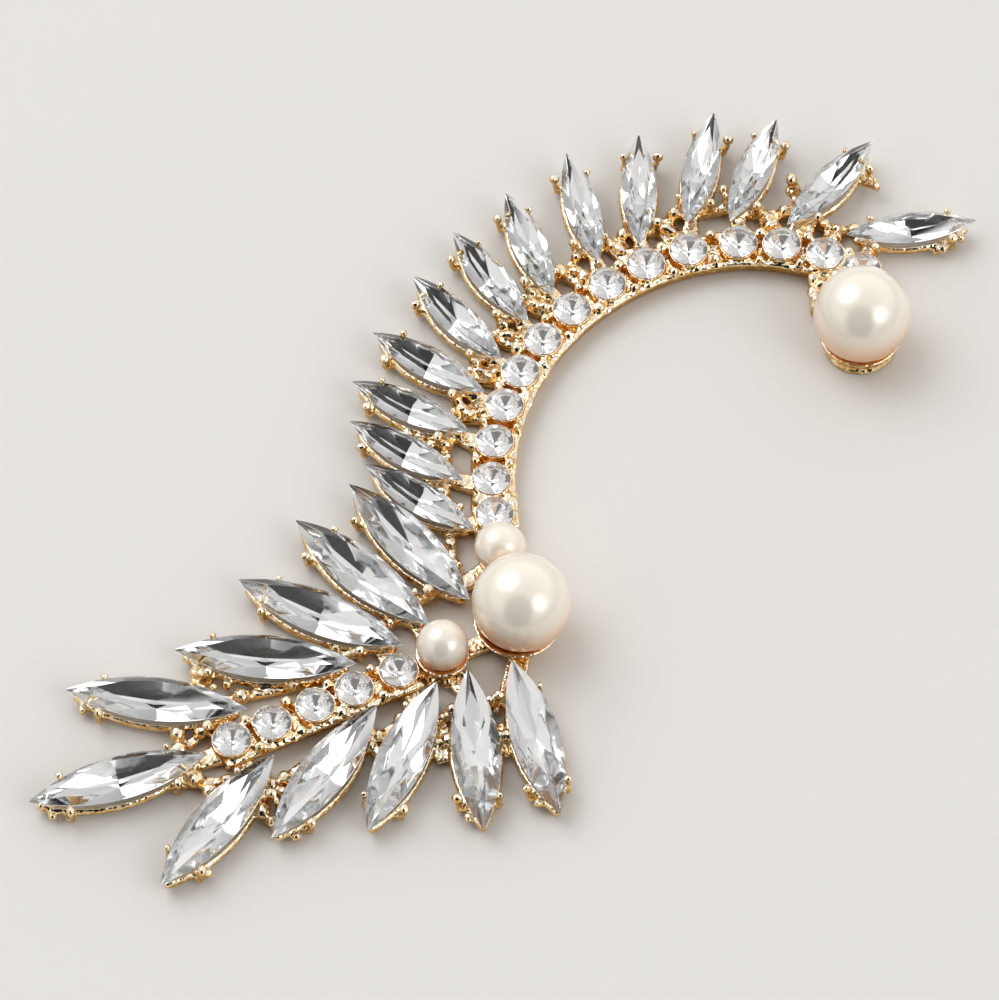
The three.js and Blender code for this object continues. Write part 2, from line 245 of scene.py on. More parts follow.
def grid_quads(rows, columns, rows_close):
    """Quads between neighbouring rows and columns of a grid whose columns close on themselves,
    and whose rows may."""
    row, column = np.meshgrid(
        np.arange(rows if rows_close else rows - 1), np.arange(columns), indexing="ij"
    )
    next_row, next_column = (row + 1) % rows, (column + 1) % columns
    here, above = row * columns, next_row * columns
    corners = [here + column, here + next_column, above + next_column, above + column]
    return np.stack(corners, axis=-1).reshape(-1, 4)


def signed_volume(points, quads):
    """Volume inside a closed shell of quads, negative if they face inwards: a sixth of the sum
    of the triple products of the corners of each quad's two triangles."""
    a, b, c, d = (points[quads[:, i]] for i in range(4))
    return (np.cross(a, b) * c + np.cross(a, c) * d).sum() / 6


def new_object(name, data):
    """An object in the scene, at the origin."""
    made = bpy.data.objects.new(name, data)
    bpy.context.scene.collection.objects.link(made)
    return made


def add_piece(name, shells, materials, nodes, sharp=math.radians(30), finishes=None):
    """Makes one piece from closed shells, each a grid of points: rows, columns, 3. A shell whose
    rows also close is given as (grid, True). Doubles are merged, so poles and seams are closed.
    finishes gives the material's number for each row of quads of every shell."""
    points, faces, numbers, start = [], [], [], 0
    for shell in shells:
        grid, rows_close = shell if isinstance(shell, tuple) else (shell, False)
        rows, columns = grid.shape[:2]
        flat = grid.reshape(-1, 3)
        quads = grid_quads(rows, columns, rows_close)
        if signed_volume(flat - flat.mean(0), quads) < 0:
            quads = quads[:, ::-1]
        bands = len(quads) // columns
        numbers.append(np.repeat(finishes or [0] * bands, columns))
        points.append(flat)
        faces.append(quads + start)
        start += len(flat)
    mesh = bpy.data.meshes.new(name)
    mesh.from_pydata(np.concatenate(points) * MM, [], np.concatenate(faces))
    mesh.polygons.foreach_set("material_index", np.concatenate(numbers).astype(np.int32))
    merged = bmesh.new()
    merged.from_mesh(mesh)
    bmesh.ops.remove_doubles(merged, verts=merged.verts, dist=1e-7)
    merged.to_mesh(mesh)
    merged.free()
    mesh.polygons.foreach_set("use_smooth", np.ones(len(mesh.polygons), bool))
    mesh.set_sharp_from_angle(angle=sharp)
    for material in materials:
        mesh.materials.append(material)
    piece = new_object(name, mesh)
    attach(piece, BODY)
    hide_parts(*nodes)
    return piece


def placed(seat, local):
    """Points of a marquise's own axes, in the piece's."""
    return seat.middle + local @ seat.axes


# ---- Materials ----


def add_node(tree, kind, inputs=None, **settings):
    """Adds one shader node. inputs maps its sockets to values, or to sockets to link to them."""
    node = tree.nodes.new("ShaderNode" + kind)
    for name, value in settings.items():
        setattr(node, name, value)
    for socket, value in (inputs or {}).items():
        if isinstance(value, bpy.types.NodeSocket):
            tree.links.new(value, node.inputs[socket])
        else:
            node.inputs[socket].default_value = value
    return node


def noise(tree, coordinates, scale, detail):
    """A height from 0 to 1, in lumps about 1 / scale of a metre across."""
    sockets = {"Vector": coordinates, "Scale": scale, "Detail": detail}
    return add_node(tree, "TexNoise", sockets).outputs["Fac"]


def bumped(tree, height, strength, depth):
    """The normal of a surface whose lowest and highest points are depth apart."""
    sockets = {"Height": height, "Strength": strength, "Distance": depth * MM}
    return add_node(tree, "Bump", sockets).outputs["Normal"]


def mapped(tree, value, to_range, from_range=(0.0, 1.0), easing="LINEAR"):
    """A value of from_range, brought to the same place in to_range."""
    sockets = {"Value": value}
    sockets["From Min"], sockets["From Max"] = from_range
    sockets["To Min"], sockets["To Max"] = to_range
    node = add_node(tree, "MapRange", sockets, interpolation_type=easing)
    return node.outputs["Result"]


def math_node(tree, operation, *values):
    """The result of one sum on numbers and sockets."""
    sockets = dict(enumerate(values))
    return add_node(tree, "Math", sockets, operation=operation).outputs["Value"]


def ramp(tree, value, start, end, between=()):
    """Colour that runs from start at 0 to end at 1, through the colours between at their places."""
    node = add_node(tree, "ValToRGB", {"Fac": value})
    elements = node.color_ramp.elements
    elements[0].color = (*start, 1)
    elements[1].color = (*end, 1)
    for place, colour in between:
        elements.new(place).color = (*colour, 1)
    return node.outputs["Color"]


def new_material(name):
    """An empty material, its node tree and its object coordinates."""
    material = bpy.data.materials.new(name)
    material.use_nodes = True
    tree = material.node_tree
    tree.nodes.clear()
    coordinates = add_node(tree, "TexCoord").outputs["Object"]
    return material, tree, coordinates


def finish_material(tree, colour, roughness, **sockets):
    """Gives a material its one shader. Other sockets are named with _ for a space."""
    inputs = {name.replace("_", " "): value for name, value in sockets.items()}
    inputs["Base Color"] = colour
    inputs["Roughness"] = roughness
    surface = add_node(tree, "BsdfPrincipled", inputs)
    add_node(tree, "OutputMaterial", {"Surface": surface.outputs["BSDF"]})


def glass(name, colour, clarity):
    """Faceted glass. What isn't clear of it scatters light and makes it milky."""
    material, tree, coordinates = new_material(name)
    wave = noise(tree, coordinates, scale=700.0, detail=1.0)
    normal = bumped(tree, wave, strength=0.3, depth=0.03)
    finish_material(
        tree, (*colour, 1), 0.0, IOR=1.52, Transmission_Weight=clarity, Normal=normal
    )
    return material


def pressed_glass(colour):
    """Soda-lime glass, pressed hot and fire polished: clear, with facets gone slightly soft."""
    return glass("pressed_soda_lime_glass", colour, 1.0)


def tumbled_glass(colour):
    """Soda-lime glass of small round stones, pressed and only tumbled: a little milky."""
    return glass("tumbled_soda_lime_glass", colour, 0.87)


def silver_foil(colour):
    """Silver foil deposited on the glass: a mirror with the faint unevenness of the pressing."""
    material, tree, coordinates = new_material("deposited_silver_foil")
    cloud = noise(tree, coordinates, scale=900.0, detail=2.0)
    finish_material(tree, (*colour, 1), mapped(tree, cloud, (0.02, 0.1)), Metallic=1.0)
    return material


RISE = "rise"  # a pearl's attribute: height over its middle, from -1 at its foot to 1 on top
FOOT_RISE = (0.6, -0.5)  # the rise where the foot's colour begins, and where it is full


def pearl_lacquer(colour, foot):
    """Essence d'orient lacquer over a moulded bead: satin under a clear top coat, and turning
    peach towards its foot, where the gold cup shines into it."""
    material, tree, coordinates = new_material("dipped_pearl_lacquer")
    rise = add_node(tree, "Attribute", attribute_name=RISE).outputs["Fac"]
    body = ramp(tree, mapped(tree, rise, (0.0, 1.0), FOOT_RISE, "SMOOTHSTEP"), colour, foot)
    cloud = noise(tree, coordinates, scale=500.0, detail=3.0)
    satin = mapped(tree, cloud, (0.2, 0.28))
    finish_material(
        tree, body, satin, Specular_Tint=body, IOR=2.8, Coat_Weight=1.0, Coat_Roughness=0.2
    )
    return material


UPRIGHT_WEIGHT = 0.35  # weight of facing upwards, which paints tops lighter as painted light, next to 1 for how far a spot stands out, which paints edges lighter and creases darker
GRAIN_WEIGHT = 0.6
PAINTED_LIGHT_RANGE = (0.8, 1.2)  # the sums at which a spot takes the full painted shade, and the full painted highlight


def gold_plating(colour, edge, painted_shade):
    """Zinc alloy, cast and tumbled, plated gold, with light and shade painted into its colour: a
    pale painted highlight on edges that stand out and on tops that face upwards, and amber painted
    shade in the pits, creases and side walls, standing for light that bounces from gold to gold.
    The sum behind the colour adds up a spot's facing upwards, its standing out and the grain, each
    by its own weight; the grain also makes the colour uneven from lump to lump."""
    material, tree, coordinates = new_material("gold_plated_cast_zinc")
    grain = noise(tree, coordinates, scale=2300.0, detail=1.5)
    normal = bumped(tree, grain, strength=1.0, depth=0.15)
    upright = add_node(tree, "SeparateXYZ", {0: normal}).outputs["Z"]
    stands_out = add_node(tree, "NewGeometry").outputs["Pointiness"]
    # Painted light: spots that face upwards or stand out come out lighter, and creases and side
    # walls darker as painted shade; the grain adds uneven tone.
    painted_light_and_grain = math_node(tree, "MULTIPLY_ADD", upright, UPRIGHT_WEIGHT, stands_out)
    painted_light_and_grain = math_node(tree, "MULTIPLY_ADD", grain, GRAIN_WEIGHT, painted_light_and_grain)
    painted_light_and_grain = mapped(tree, painted_light_and_grain, (0.0, 1.0), PAINTED_LIGHT_RANGE)
    # Painted shade in the pit colour, the plating's own colour between, and a painted highlight in
    # the edge colour.
    shade = ramp(tree, painted_light_and_grain, painted_shade, edge, between=[(0.5, colour)])
    spread = mapped(tree, grain, (0.05, 0.16))
    finish_material(tree, shade, spread, Metallic=1.0, Normal=normal)
    return material


def floor_board(colour):
    """Painted board: matt, with a faint tooth."""
    material, tree, coordinates = new_material("matt_painted_board")
    tooth = noise(tree, coordinates, scale=900.0, detail=2.0)
    normal = bumped(tree, tooth, strength=0.05, depth=0.05)
    finish_material(tree, (*colour, 1), 0.7, Normal=normal)
    return material


MADE = {}  # materials by their kind and colours


def kept_material(make, *colours):
    """A material that pieces share, made once for each set of colours."""
    colours = tuple(tuple(colour) for colour in colours)
    key = (make.__name__, colours)
    if key not in MADE:
        MADE[key] = make(*colours)
    return MADE[key]


# ---- Crystals ----

OUTLINE_STEPS = 6  # points from one corner of a marquise's facets to the next
CORNERS = np.array([1.0, 0.52, 0.0, -0.52, -1.0, -0.52, 0.0, 0.52])  # their places along it
TABLE_RISE = 0.85  # a marquise's table is at this share of its crown
GIRDLE = 0.06  # half its thickness
ROUND_COLUMNS = 48
ROUND_SIDES = 12  # facets round a round crystal's table


def half_width_at(seat, place):
    """Half the width of a marquise's outline, where two equal circles overlap, at a place
    along it that runs from -1 at the inner tip to 1 at the outer one: half a circle's chord
    there, less the distance from the circle's middle to the long axis."""
    radius = (seat.half_length**2 + seat.half_width**2) / (2 * seat.half_width)
    chord = np.sqrt(radius**2 - (np.asarray(place) * seat.half_length) ** 2)
    return chord - (radius - seat.half_width)


def marquise_surface(seat, table_length, table_width):
    """Rings of a marquise from the middle of its table to its culet. A faceted ring runs
    straight between the outline's corners, and the girdle follows the outline itself. Each
    ring is its outline times a share of the length and of the width, at one height."""
    share = np.arange(len(CORNERS) * OUTLINE_STEPS) / OUTLINE_STEPS
    corner = share.astype(int)
    part = share - corner
    following = (corner + 1) % len(CORNERS)
    x = CORNERS[corner] * (1 - part) + CORNERS[following] * part
    side = np.where(share < len(CORNERS) / 2, 1.0, -1.0)
    curved_y = side * half_width_at(seat, x)
    corner_y = half_width_at(seat, CORNERS)
    faceted_y = side * (corner_y[corner] * (1 - part) + corner_y[following] * part)

    def ring(long, wide, height, faceted=True):
        y = faceted_y if faceted else curved_y
        return points_of(x * seat.half_length * long, y * wide, height)

    rings = [
        ring(0, 0, seat.crown * TABLE_RISE),
        ring(table_length, table_width, seat.crown * TABLE_RISE),
        ring(0.84, 0.82, seat.crown * 0.45),
        ring(1, 1, GIRDLE, faceted=False),
        ring(1, 1, -GIRDLE, faceted=False),
        ring(0.5, 0.52, -seat.pavilion * 0.53),
        ring(0, 0, -seat.pavilion),
    ]
    return np.stack(rings)


def polygon_radius(angle, sides, turned):
    """Radius of a regular polygon with corners at distance 1, at an angle from its first
    corner: the cosine of half a side's angle over that of the angle from the side's middle."""
    step = 2 * np.pi / sides
    return np.cos(step / 2) / np.cos((angle - turned * step) % step - step / 2)


def round_surface(radius, crown, pavilion, table):
    """Rings of a round crystal about its own axis, from the middle of its table to its culet:
    circles, and polygons whose corners are turned by a share of a side."""
    angle = np.arange(ROUND_COLUMNS) * 2 * np.pi / ROUND_COLUMNS

    def ring(share, height, sides=0, turned=0.0):
        r = radius * share * (polygon_radius(angle, sides, turned) if sides else 1.0)
        return points_of(r * np.cos(angle), r * np.sin(angle), height)

    rings = [
        ring(0, crown),
        ring(table, crown, ROUND_SIDES),
        ring(0.82, crown * 0.55, ROUND_SIDES, 0.5),
        ring(1, GIRDLE),
        ring(1, -GIRDLE),
        ring(0.6, -pavilion * 0.45, ROUND_SIDES, 0.5),
        ring(0, -pavilion),
    ]
    return np.stack(rings)


CRYSTAL_FINISHES = [0, 0, 0, 0, 1, 1]  # glass down to the girdle, foil below
FACET_ANGLE = math.radians(6)  # faces that meet at more than this meet in a sharp edge
STONE_TURN = 1.1  # radians from one round crystal to the next


def add_crystal(name, grid, slot, glass_kind, tint, foil):
    """One crystal, with foil behind its glass."""
    materials = [kept_material(glass_kind, tint), kept_material(silver_foil, foil)]
    finishes = CRYSTAL_FINISHES
    add_piece(name + "_crystal", [grid], materials, [name], FACET_ANGLE, finishes)


class EARCLIMBER_OT_marquises(bpy.types.Operator):
    """Make the small and large marquise crystals"""

    bl_idname = "earclimber.marquises"
    bl_label = "Marquise crystals"

    def execute(self, context):
        settings = context.scene.ear_climber_crystals
        looks = ("foil_backed_crystal", pressed_glass, settings.glass, settings.foil)
        for name, seat in SEATS.items():
            local = marquise_surface(seat, settings.table_length, settings.table_width)
            add_crystal(name, placed(seat, local), *looks)
        return {"FINISHED"}


class EARCLIMBER_OT_round_crystals(bpy.types.Operator):
    """Make the round crystals of the arc and the wing"""

    bl_idname = "earclimber.round_crystals"
    bl_label = "Round crystals"

    def execute(self, context):
        settings = context.scene.ear_climber_crystals
        looks = ("round_crystal", tumbled_glass, settings.glass, settings.round_foil)
        for number, name in enumerate(ARC_CRYSTALS + WING_CRYSTALS):
            middle, radius, girdle, crown, pavilion = round_seat(name)
            grid = round_surface(radius, crown, pavilion, settings.round_table)
            cosine, sine = math.cos(number * STONE_TURN), math.sin(number * STONE_TURN)
            spin = np.array([[cosine, sine, 0], [-sine, cosine, 0], [0, 0, 1]])
            add_crystal(name, grid @ spin + [middle[0], middle[1], girdle], *looks)
        return {"FINISHED"}


# ---- Pearls ----


def ball_surface(middle, radius, rows=48, columns=64):
    """Points of a ball, by its angle down from the top and its angle round."""
    down = np.linspace(0, np.pi, rows + 1)[:, None]
    round_ = np.arange(columns)[None] * 2 * np.pi / columns
    ring = np.sin(down)
    return middle + radius * points_of(ring * np.cos(round_), ring * np.sin(round_), np.cos(down))


class EARCLIMBER_OT_pearls(bpy.types.Operator):
    """Make the four imitation pearls"""

    bl_idname = "earclimber.pearls"
    bl_label = "Pearls"

    def execute(self, context):
        settings = context.scene.ear_climber_pearls
        lacquer = kept_material(pearl_lacquer, settings.lacquer, settings.foot)
        for name in PEARLS:
            middle, radius = node_middle(name), node_radius(name)
            ball = ball_surface(middle, radius)
            bead = add_piece(name + "_bead", [ball], [lacquer], [name])
            points = np.empty(len(bead.data.vertices) * 3)
            bead.data.vertices.foreach_get("co", points)
            rise = bead.data.attributes.new(RISE, "FLOAT", "POINT")
            rise.data.foreach_set("value", (points[2::3] / MM - middle[2]) / radius)
        return {"FINISHED"}


# ---- Setting ----

NEXT = dict(zip(MARQUISES, MARQUISES[1:]))
# A web of casting fills the corner between each of these and the next.
WEBBED = [name for name in SMALL_MARQUISES[:10] if name != "small_marquise_03"]

RAIL_COLUMNS = 72
RAIL_OUTLINE = 0.97  # width of a rail's path, as a share of its marquise's
RAIL_SHORTER = 0.8  # from a marquise's tip to the tip of its rail's path
RAIL_TILT = 0.7  # a rail follows this share of its marquise's tilt

CLAW_PLACES = (-0.6, 0.6)  # along a marquise's edge
CAD_CLAW_CLEAR = 0.72  # from a marquise's edge to the middle of the frame's own claw
CAD_CLAW_TOPS = 1.9  # only the frame's claws stand higher
CAD_CLAW_NEAR = 0.5  # a claw has points as near as this to its middle
CLAW_INSET = 0.3  # how far inside the crystal's edge a claw leaves the rail
CLAW_FOOT = 0.62  # height of its foot
CLAW_BEND = 0.7  # height of its bend
CLAW_OVER = 0.05  # height of its tip over the girdle
CLAW_STRAY = 0.08  # how far a tip is out of place at most
CLAW_SOLDER = 0.4  # radius of the lump at its foot
FOOT_RADIUS = 0.34  # of a claw's wire
ClawStyle = namedtuple("ClawStyle", "clear ball_share tip_radius")
OPEN_CLAW = ClawStyle(0.66, 1.0, 0.22)
CLOSE_CLAW = ClawStyle(0.24, 0.7, 0.17)

BAR_INSET = 0.2  # how far inside a crystal's edge a bar or post ends
BAR_HEIGHT = 0.55
BAR_HALF_HEIGHT = 0.42
LONG_BAR = 1.0  # a bar that is longer has two lumps
POST_FOOT = 0.6  # height of the foot of a post under a lump
POST_RADIUS = 0.36
STRUT_REACH = 2.2  # from a marquise's inner tip to the end of the plate under it
STRUT_HALF_WIDTHS = (1.1, 0.5)  # at the row, and under the marquise
PLATE_HALF_HEIGHT = 0.5  # of a strut or a web, which lie on the floor
WEB_PLACE = -0.72  # where a web ends along the edges of both its marquises
WEB_HALF_WIDTH = 0.9
WEB_LUMPS = (0.55, 0.7, 0.85, 1.0)  # their places, as shares of the way from the row
WEB_STRAY = 0.4

ROW_OVERHANG = 0.35  # how far a row's strip runs on, as a share of its stones' spacing
LEDGE_OFFSET = 1.7  # from the middle of a row to its ledge
LEDGE_HEIGHT = 1.45
SCALLOP_POINTS = 7  # points of the row's path from one scallop to the next
PEARL_GAP = 0.06  # between a pearl and the side of its cup
PEARL_FLOOR_GAP = 0.02  # between a pearl's foot and the bottom of its cup
RUN_HALF_WIDTH = 0.8  # of the strips that join the cups
RUN_HALF_HEIGHT = 0.45
WALL_ENDS = ((-3.3, 6.2, 0), (-3.7, 2.6, 0))  # seen from the end pearl's middle
WALL_HALF_WIDTHS = (1.0, 0.35)
WALL_HALF_HEIGHT = 0.8
WALL_LUMPS = 1.5  # height of the lumps on the wall
HANGER_HEIGHT = 0.7
BEAD_TURNS = (-150, -115, -80, -45)  # degrees, round the wing's pearl
BEAD_DISTANCE = 2.25
BEAD_HEIGHT = 0.8
SOLDER_RADIUS = 0.5  # of the wall's lumps and of the beads

# Bars from a marquise to the next one round the piece. An end's place along its crystal's edge
# runs from -1 at the inner tip to 1 at the outer one.
Bridge = namedtuple("Bridge", "name place next_place half_width")
BRIDGES = [Bridge(name, -0.62, -0.62, 0.42) for name in MARQUISES[:-1]] + [
    Bridge("large_marquise_04", 0.6, -0.3, 0.7),
    Bridge("large_marquise_05", -0.26, -0.71, 0.42),
    Bridge("large_marquise_06", -0.8, -0.25, 0.3),
    Bridge("large_marquise_07", -0.75, 0.42, 0.35),
    Bridge("large_marquise_07", -0.45, 0.8, 0.3),
    Bridge("large_marquise_08", -0.6, 0.0, 0.35),
    Bridge("large_marquise_09", -0.32, -0.22, 1.6),
    Bridge("large_marquise_10", -0.2, -0.15, 1.6),
]

# Lumps of solder and spare claws beside a marquise. side is 1 on the left of its heading and
# -1 on the right, and clear is the distance from its edge.
Spare = namedtuple("Spare", "place side clear height radius")
SPARES = {
    "small_marquise_01": [
        (0.45, -1, 0.35, 0.9, 0.5), (0.35, -1, 0.25, 0.7, 0.45), (0.75, -1, 0.5, 1.4, 0.35),
    ],
    "small_marquise_02": [
        (0.5, -1, 1.7, 1.6, 0.42), (0.55, -1, 1.2, 1.5, 0.36), (-0.35, 1, 1.3, 2.3, 0.55),
        (-0.45, 1, 1.1, 1.5, 0.42), (-0.75, -1, 0.7, 1.2, 0.5), (-0.85, -1, 1.1, 1.0, 0.45),
    ],
    "small_marquise_03": [(-0.45, 1, 0.55, 1.7, 0.5)],
    "small_marquise_11": [
        (-0.1, 1, 0.4, 0.8, 0.42), (-0.3, 1, 0.5, 0.8, 0.45), (-0.5, 1, 0.6, 0.8, 0.45),
        (-0.75, 1, 0.5, 0.8, 0.5),
    ],
    "small_marquise_12": [
        (-0.3, 1, 0.4, 0.8, 0.42), (-0.72, 1, 0.5, 0.8, 0.5), (-0.5, 1, 0.5, 0.8, 0.45),
    ],
    "large_marquise_04": [
        (0.75, 1, 0.35, 0.8, 0.55), (0.6, 1, 0.5, 0.8, 0.5), (0.4, 1, 0.45, 0.8, 0.5),
    ],
    "large_marquise_05": [(0.8, 1, 0.2, 0.8, 0.4)],
    "large_marquise_06": [(0.78, 1, 0.25, 0.8, 0.42)],
    "large_marquise_07": [(0.5, 1, 0.35, 0.8, 0.45)],
    "large_marquise_08": [(0.75, 1, 0.25, 0.8, 0.4)],
    "large_marquise_10": [(0.75, -1, 0.2, 1.0, 0.4)],
    "large_marquise_11": [(0.72, -1, 0.25, 1.0, 0.42)],
}

# The lip of a cup, the thickness of its wall, the radius of the flange that it stands on, and
# how far it stands aside of its pearl.
Cup = namedtuple("Cup", "pearl lip_radius lip_height wall flange aside")
CUPS = [
    Cup("end_pearl", 3.5, 1.9, 0.3, 3.0, (0, 0)),
    Cup("join_pearl", 3.6, 2.1, 0.3, 2.6, (-0.3, -0.1)),
    Cup("arc_pearl", 1.85, 1.6, 0.3, 1.3, (0, 0)),
    Cup("wing_pearl", 2.25, 1.7, 0.35, 1.9, (0, 0)),
]


def straight(start, end, steps=6):
    """Points evenly along the line between two points."""
    share = np.linspace(0, 1, steps)[:, None]
    return np.asarray(start) * (1 - share) + np.asarray(end) * share


def bowed(start, bend, end, steps=9):
    """Points of a parabola that leaves start towards bend and comes into end from bend: with t
    from 0 to 1, the three points weighed by (1 - t) squared, 2 t (1 - t) and t squared."""
    t = np.linspace(0, 1, steps)[:, None]
    return (1 - t) ** 2 * start + 2 * t * (1 - t) * bend + t**2 * end


def smooth_path(points, steps=6):
    """A curve through points: between each two a cubic whose slope at a point is half the
    step from the point before it to the one after."""
    points = np.asarray(points, float)
    slopes = np.gradient(points, axis=0)
    t = (np.arange(steps) / steps)[None, :, None]
    a, b = points[:-1, None], points[1:, None]
    slope_a, slope_b = slopes[:-1, None], slopes[1:, None]
    curve = (
        (2 * t**3 - 3 * t**2 + 1) * a
        + (t**3 - 2 * t**2 + t) * slope_a
        + (3 * t**2 - 2 * t**3) * b
        + (t**3 - t**2) * slope_b
    )
    return np.concatenate([curve.reshape(-1, 3), points[-1:]])


def swept(path, half_width, half_height, closed=False, flat=2.0, up=(0, 0, 1), columns=12):
    """A bar along a path. Its profile is half_width across and half_height up, an ellipse
    when flat is 2 and nearer a box as flat grows: the sine and cosine to the power 2 / flat."""
    if closed:
        tangent = np.roll(path, -1, axis=0) - np.roll(path, 1, axis=0)
    else:
        tangent = np.gradient(path, axis=0)
    tangent = unit(tangent)
    across = unit(np.cross(up, tangent))
    lift = np.cross(tangent, across)
    angle = np.arange(columns) * 2 * np.pi / columns
    wave = np.stack([np.cos(angle), np.sin(angle)])
    wave = np.sign(wave) * np.abs(wave) ** (2 / flat)
    wide = np.broadcast_to(half_width, len(path))[:, None] * wave[0]
    tall = np.broadcast_to(half_height, len(path))[:, None] * wave[1]
    grid = path[:, None] + wide[..., None] * across[:, None] + tall[..., None] * lift[:, None]
    if closed:
        return grid, True
    caps = np.repeat(path[[0, -1], None], columns, axis=1)
    return np.concatenate([caps[:1], grid, caps[1:]])


def plate(start, end, half_width, half_height, flat):
    """A straight bar on the floor. half_width is a number, or a pair for its two ends."""
    path = straight(start, end)
    path[:, 2] = half_height
    half_widths = np.linspace(*np.broadcast_to(half_width, 2), len(path))
    return swept(path, half_widths, half_height, flat=flat)


def turned(middle, profile, columns=48):
    """A profile of radius and height turned about an upright axis, closed at both its ends."""
    radius, height = np.asarray(profile, float).T[:, :, None]
    angle = np.arange(columns)[None] * 2 * np.pi / columns
    points = points_of(radius * np.cos(angle), radius * np.sin(angle), height)
    return np.asarray(middle) * (1, 1, 0) + points


def lump(middle, radius, chance):
    """A ball of solder or the tip of a claw, stretched or squeezed a little along each axis."""
    stretch = chance.uniform(0.85, 1.15, 3)
    return np.asarray(middle) + ball_surface(np.zeros(3), radius, 8, 12) * stretch


def lump_on_post(foot, spot, radius, up, chance, steps=6):
    """A lump on a round post that comes up to it from its foot."""
    post = swept(straight(foot, spot, steps), POST_RADIUS, POST_RADIUS, up=up)
    return [lump(spot, radius, chance), post]


def edge_point(seat, place, side, clear, height):
    """Point beside a marquise, clear of its edge. side is 1 on the left of its heading, and
    height is above the floor."""
    y = side * (half_width_at(seat, place) + clear)
    point = placed(seat, np.array([place * seat.half_length, y, 0.0]))
    point[2] = height
    return point


def has_claw(seat, place, side):
    """Whether the frame has a claw at a corner of a setting."""
    spot = edge_point(seat, place, side, CAD_CLAW_CLEAR, 0)[:2]
    tops = FRAME_POINTS[FRAME_POINTS[:, 2] > CAD_CLAW_TOPS]
    return np.linalg.norm(tops[:, :2] - spot, axis=1).min() < CAD_CLAW_NEAR


def gallery_rail(seat, settings):
    """Wire round a marquise under its edge. Its path is the outline, a little shorter and
    narrower, with places along it at the cosines of even angles."""
    angle = np.arange(RAIL_COLUMNS) * 2 * np.pi / RAIL_COLUMNS
    place = np.cos(angle)
    x = place * (seat.half_length - RAIL_SHORTER)
    y = np.sign(np.sin(angle)) * half_width_at(seat, place) * RAIL_OUTLINE
    path = placed(seat, points_of(x, y, 0.0))
    half_width = settings.rail_width / MM / 2
    half_height = settings.rail_height / MM / 2
    tilt = RAIL_TILT * (path[:, 2] - seat.middle[2])
    path[:, 2] = settings.rail_top / MM - half_height + tilt
    return swept(path, half_width, half_height, closed=True)


def claw(seat, place, side, settings, chance):
    """A claw that leaves the rail outwards and rises to a ball beside the crystal's edge. On
    the side towards -Y the claws stand well off, and on the other side they close in."""
    style = OPEN_CLAW if side * seat.axes[1][1] < 0 else CLOSE_CLAW
    clear = style.clear + chance.uniform(-CLAW_STRAY, CLAW_STRAY)
    foot = edge_point(seat, place, side, -CLAW_INSET, CLAW_FOOT)
    bend = edge_point(seat, place, side, clear * 1.15, CLAW_BEND)
    tip = edge_point(seat, place, side, clear, seat.middle[2] + CLAW_OVER)
    path = bowed(foot, bend, tip)
    wire = np.linspace(FOOT_RADIUS, style.tip_radius, len(path))
    solder = edge_point(seat, place, side, clear / 2, CLAW_FOOT)
    return [
        swept(path, wire, wire, up=seat.axes[0]),
        lump(tip, settings.ball / MM * style.ball_share, chance),
        lump(solder, CLAW_SOLDER, chance),
    ]


def marquise_setting(name, settings, chance):
    """Rail and claws of one marquise, and its own bridges and spare lumps."""
    seat = SEATS[name]
    shells = [gallery_rail(seat, settings)]
    for place in CLAW_PLACES:
        for side in (-1, 1):
            if has_claw(seat, place, side):
                shells += claw(seat, place, side, settings, chance)
    for spare in map(Spare._make, SPARES.get(name, [])):
        spot = edge_point(seat, spare.place, spare.side, spare.clear, spare.height)
        foot = edge_point(seat, spare.place, spare.side, -BAR_INSET, POST_FOOT)
        shells += lump_on_post(foot, spot, spare.radius, seat.axes[0], chance)
    for bridge in (row for row in BRIDGES if row.name == name):
        shells += bridge_bar(seat, SEATS[NEXT[name]], bridge, chance)
    return shells


def nearest(point, candidates):
    """The candidate that is nearest to a point in plan."""
    gaps = np.linalg.norm(np.asarray(candidates)[:, :2] - point[:2], axis=1)
    return np.asarray(candidates)[gaps.argmin()]


def strut(seat, hearts):
    """Flat plate from under a marquise's inner end to the nearest round crystal or pearl."""
    root = placed(seat, np.array([STRUT_REACH - seat.half_length, 0, 0]))
    return plate(nearest(root, hearts), root, STRUT_HALF_WIDTHS, PLATE_HALF_HEIGHT, flat=4)


def web(seat, following, hearts, chance):
    """Rough casting that fills the corner between two neighbouring settings and the row."""
    left = edge_point(seat, WEB_PLACE, 1, 0, 0)
    right = edge_point(following, WEB_PLACE, -1, 0, 0)
    root = np.mean([left, right], axis=0)
    heart = nearest(root, hearts) * (1, 1, 0)
    shells = [plate(heart, root, WEB_HALF_WIDTH, PLATE_HALF_HEIGHT, flat=4)]
    for share in WEB_LUMPS:
        stray = np.append(chance.uniform(-WEB_STRAY, WEB_STRAY, 2), 2 * PLATE_HALF_HEIGHT)
        spot = heart * (1 - share) + root * share + stray
        shells.append(lump(spot, chance.uniform(0.4, 0.55), chance))
    return shells


def bridge_bar(seat, following, bridge, chance):
    """Tie bar between neighbouring settings, with one or two lumps of solder along it."""
    a = edge_point(seat, bridge.place, 1, -BAR_INSET, BAR_HEIGHT)
    b = edge_point(following, bridge.next_place, -1, -BAR_INSET, BAR_HEIGHT)
    shells = [swept(straight(a, b), bridge.half_width, BAR_HALF_HEIGHT, flat=3)]
    lumps = 2 if np.linalg.norm(a - b) > LONG_BAR else 1
    for share in np.linspace(0.25, 0.75, lumps):
        spot = a * (1 - share) + b * share
        spot[2] = chance.uniform(0.8, 1.25)
        shells.append(lump(spot, chance.uniform(0.5, 0.68), chance))
    return shells


